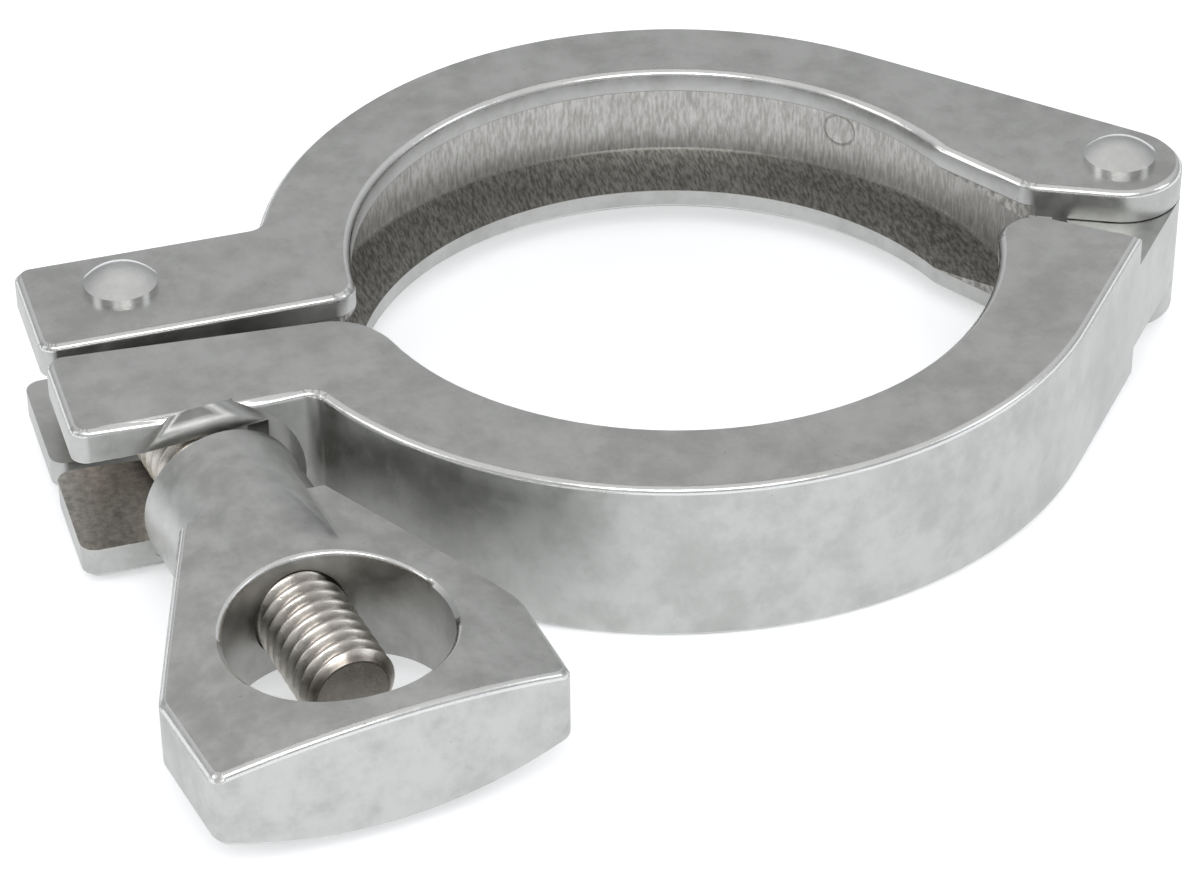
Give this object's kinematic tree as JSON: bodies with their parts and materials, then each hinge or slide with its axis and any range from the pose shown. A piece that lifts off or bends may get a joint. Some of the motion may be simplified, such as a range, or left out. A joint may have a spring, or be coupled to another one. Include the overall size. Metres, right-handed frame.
{
  "type": "hinged sanitary pipe clamp",
  "caption": "Hinged two-jaw pipe clamp with an inner V groove for flanged ferrules, a swing-out eye bolt and a wing nut with a window, in cast stainless steel.",
  "frame": {"origin": "on the pipe axis, in the clamp's mid plane, half way between its two flat faces", "axes": "+Z along the pipe axis, +X towards the hinge rivet, -Y towards the wing nut"},
  "size_m": [0.1063, 0.0929, 0.0192],
  "materials": {
    "rear_jaw_steel": "tumbled cast stainless steel, satin",
    "front_jaw_steel": "tumbled cast stainless steel, satin",
    "rivet_steel": "polished stainless steel",
    "bolt_steel": "rolled stainless steel thread",
    "nut_steel": "tumbled cast stainless steel, satin"
  },
  "bodies": {
    "rear_jaw": {"rear_jaw": "rear_jaw_steel", "hinge_rivet": "rivet_steel", "bolt_rivet": "rivet_steel"},
    "front_jaw": {"front_jaw": "front_jaw_steel"},
    "eye_bolt": {"eye_bolt": "bolt_steel"},
    "wing_nut": {"wing_nut": "nut_steel"}
  },
  "joints": [
    {"name": "nut_travel", "type": "slide", "parent": "eye_bolt", "child": "wing_nut", "axis": [0.1392, -0.9903, 0], "range_m": [-0.0008, 0.026]},
    {"name": "jaw_hinge", "type": "hinge", "parent": "rear_jaw", "child": "front_jaw", "pos_m": [0.043, 0, 0], "axis": [0, 0, 1], "range_deg": [-0.5, 16]},
    {"name": "bolt_swing", "type": "hinge", "parent": "rear_jaw", "child": "eye_bolt", "pos_m": [-0.0488, 0.0076, 0], "axis": [0, 0, -1], "range_deg": [0, 190]}
  ],
  "couplings": [
    {"joint": "jaw_hinge", "follows": "nut_travel", "rad_per_m": 10.74}
  ]
}
